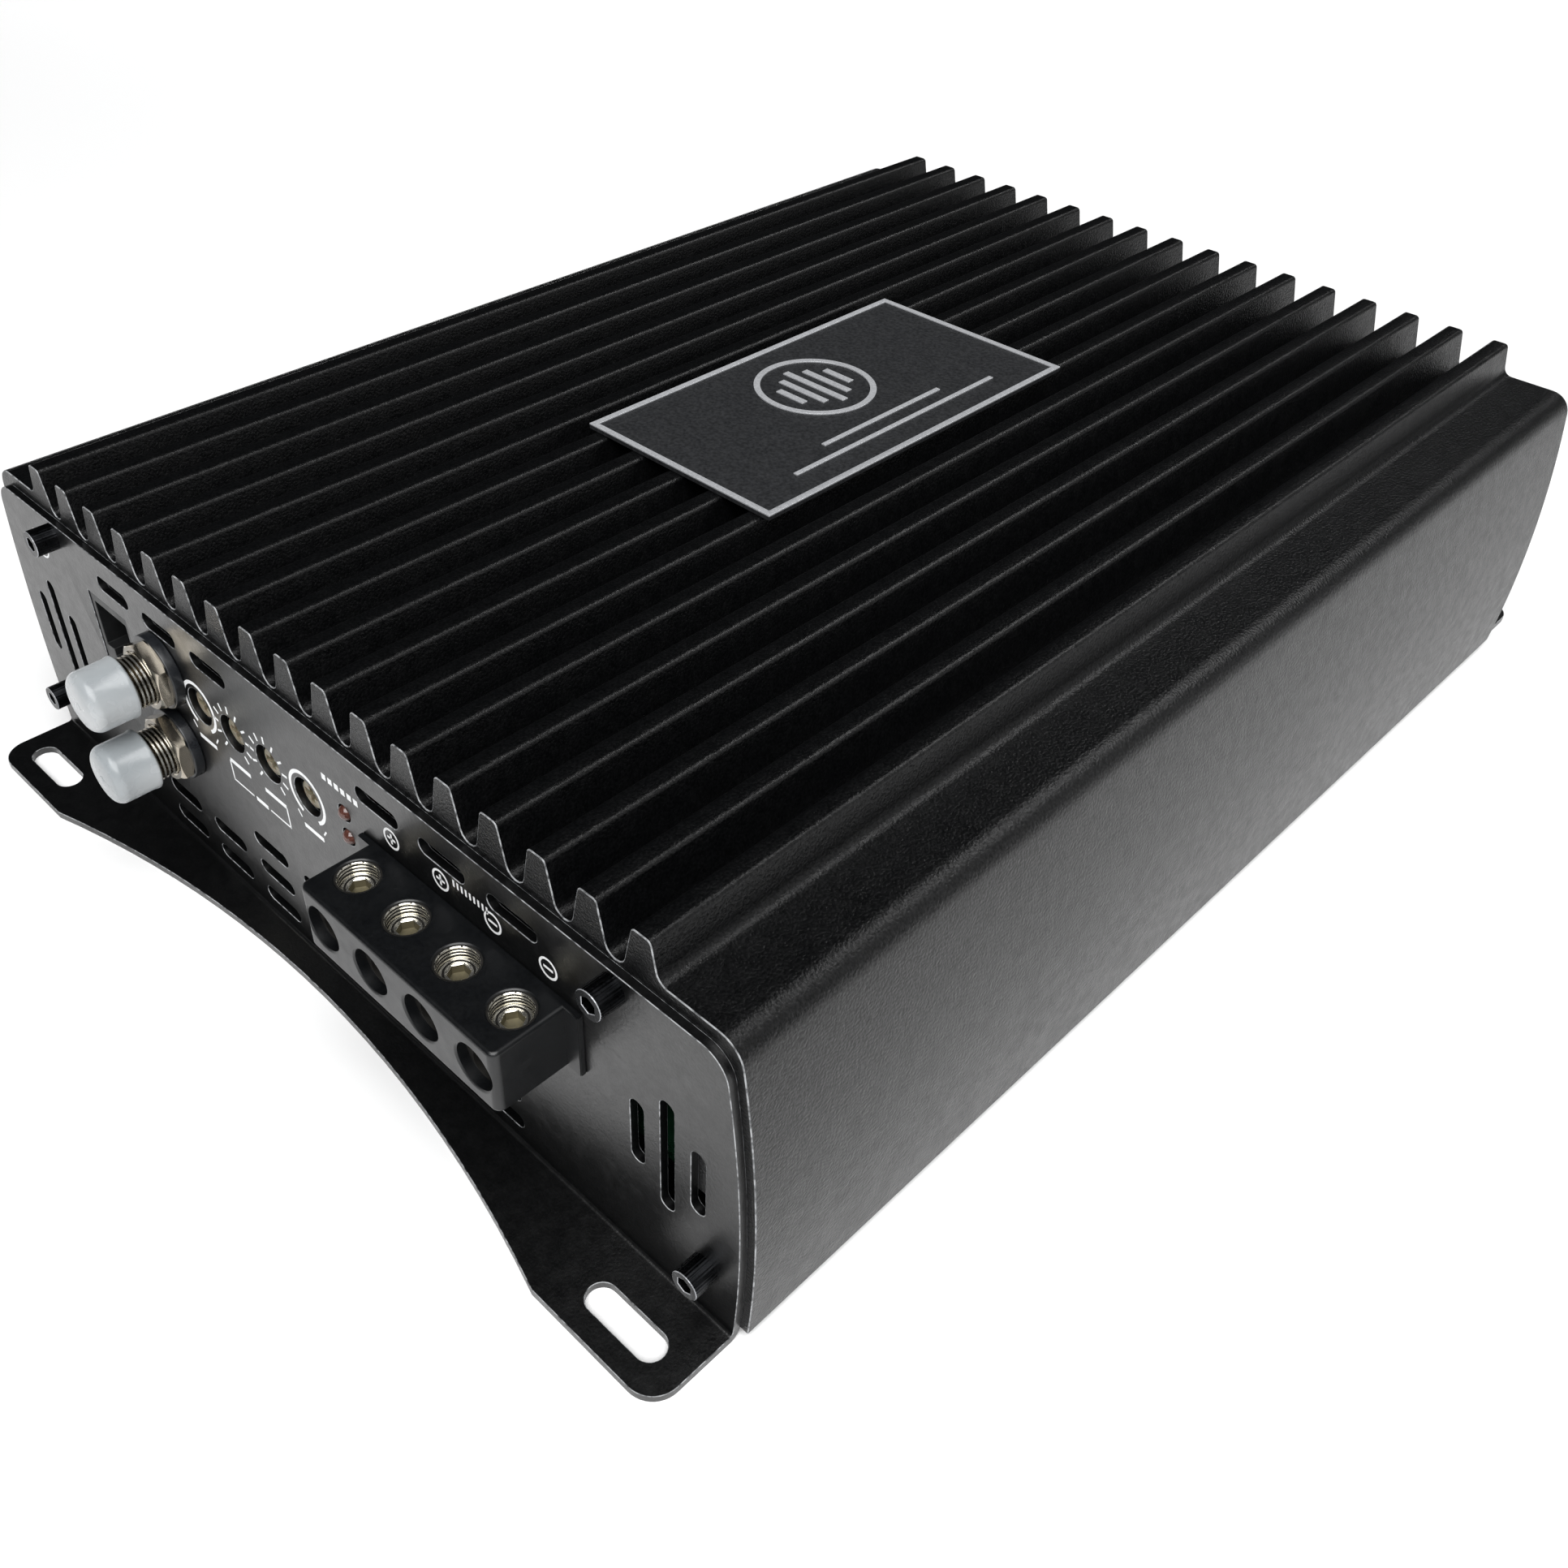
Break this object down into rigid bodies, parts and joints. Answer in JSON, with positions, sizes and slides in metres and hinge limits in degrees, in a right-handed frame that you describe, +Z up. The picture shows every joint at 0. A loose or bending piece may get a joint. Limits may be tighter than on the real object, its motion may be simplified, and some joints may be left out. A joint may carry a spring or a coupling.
{
  "type": "car amplifier",
  "caption": "Finned black car amplifier with folded end panels on slotted feet, terminal block, capped phono inputs, recessed controls and its inner electronics.",
  "frame": {"origin": "centre of the footprint, at the underside of the foot flanges", "axes": "+X to the right seen from the connector panel, +Y from the connector panel to the rear panel, +Z up"},
  "size_m": [0.2032, 0.286, 0.0701],
  "materials": {
    "heatsink_black": "satin black powder coat, fine grain",
    "panel_black": "satin black powder coat on steel sheet",
    "screw_black": "black oxide steel",
    "badge_black": "matte black enamel",
    "badge_silver": "polished aluminium",
    "black_plastic": "fine matte moulding",
    "nickel": "bright nickel plate",
    "nickel_warm": "bright nickel plate with a warm tint",
    "white_cap": "soft frosted translucent plastic",
    "insulator_white": "white nylon",
    "pot_blue": "moulded plastic",
    "knob_cream": "cream acetal",
    "led_lens": "tinted clear lens",
    "gold": "gold flash",
    "board_green": "solder-masked board",
    "brass": "turned brass",
    "zinc": "zinc-plated steel",
    "device_black": "moulded package",
    "strip_grey": "silicone thermal strip",
    "ferrite": "sintered ferrite",
    "copper": "enamelled copper wire",
    "capacitor_blue": "shrink sleeve"
  },
  "bodies": {
    "case": {"heatsink": "heatsink_black", "front_panel": "panel_black", "rear_panel": "panel_black", "bottom_cover": "panel_black", "front_panel_screws": "screw_black", "rear_panel_screws": "screw_black", "bottom_cover_screws": "screw_black", "nameplate": "badge_black", "nameplate_frame": "badge_silver", "nameplate_emblem": "badge_silver", "terminal_block": "black_plastic", "terminal_barrels": "nickel", "rca_housing": "black_plastic", "rca_shells": "nickel_warm", "rca_insulators": "insulator_white", "rca_centre_contacts": "nickel_warm", "rca_washers": "black_plastic", "rca_nuts": "nickel_warm", "potentiometer_bodies": "pot_blue", "status_leds": "led_lens", "remote_port": "black_plastic", "remote_port_contacts": "gold", "control_board": "board_green", "control_board_pins": "gold", "main_board": "board_green", "board_standoffs": "brass", "board_screws": "zinc", "output_transistors": "device_black", "supply_transistors": "device_black", "insulating_strips": "strip_grey", "transistor_clamps": "zinc", "clamp_screws": "zinc", "transformer_core": "ferrite", "transformer_winding": "copper", "inductor_core": "ferrite", "inductor_winding": "copper", "storage_capacitors": "capacitor_blue", "driver_board": "board_green", "driver_board_pins": "gold"},
    "level_knob": {"level_knob": "knob_cream"},
    "low_pass_knob": {"low_pass_knob": "knob_cream"},
    "subsonic_knob": {"subsonic_knob": "knob_cream"},
    "bass_boost_knob": {"bass_boost_knob": "knob_cream"},
    "rca_cap_upper": {"rca_cap_upper": "white_cap"},
    "rca_cap_lower": {"rca_cap_lower": "white_cap"},
    "terminal_screw_1": {"terminal_screw_1": "nickel"},
    "terminal_screw_2": {"terminal_screw_2": "nickel"},
    "terminal_screw_3": {"terminal_screw_3": "nickel"},
    "terminal_screw_4": {"terminal_screw_4": "nickel"}
  },
  "joints": [
    {"name": "level_turn", "type": "hinge", "parent": "case", "child": "level_knob", "pos_m": [-0.0304, -0.1261, 0.0435], "axis": [0, 1, 0], "range_deg": [-140, 140]},
    {"name": "low_pass_turn", "type": "hinge", "parent": "case", "child": "low_pass_knob", "pos_m": [-0.02, -0.1261, 0.0435], "axis": [0, 1, 0], "range_deg": [-140, 140]},
    {"name": "subsonic_turn", "type": "hinge", "parent": "case", "child": "subsonic_knob", "pos_m": [-0.009, -0.1261, 0.0435], "axis": [0, 1, 0], "range_deg": [-140, 140]},
    {"name": "bass_boost_turn", "type": "hinge", "parent": "case", "child": "bass_boost_knob", "pos_m": [0.0024, -0.1261, 0.0435], "axis": [0, 1, 0], "range_deg": [-140, 140]},
    {"name": "rca_cap_upper_pull", "type": "slide", "parent": "case", "child": "rca_cap_upper", "axis": [0, -1, 0], "range_m": [0, 0.014]},
    {"name": "rca_cap_lower_pull", "type": "slide", "parent": "case", "child": "rca_cap_lower", "axis": [0, -1, 0], "range_m": [0, 0.014]},
    {"name": "terminal_screw_1_travel", "type": "slide", "parent": "case", "child": "terminal_screw_1", "axis": [0, 0, 1], "range_m": [-0.0032, 0.0018]},
    {"name": "terminal_screw_2_travel", "type": "slide", "parent": "case", "child": "terminal_screw_2", "axis": [0, 0, 1], "range_m": [-0.0032, 0.0018]},
    {"name": "terminal_screw_3_travel", "type": "slide", "parent": "case", "child": "terminal_screw_3", "axis": [0, 0, 1], "range_m": [-0.0032, 0.0018]},
    {"name": "terminal_screw_4_travel", "type": "slide", "parent": "case", "child": "terminal_screw_4", "axis": [0, 0, 1], "range_m": [-0.0032, 0.0018]}
  ]
}
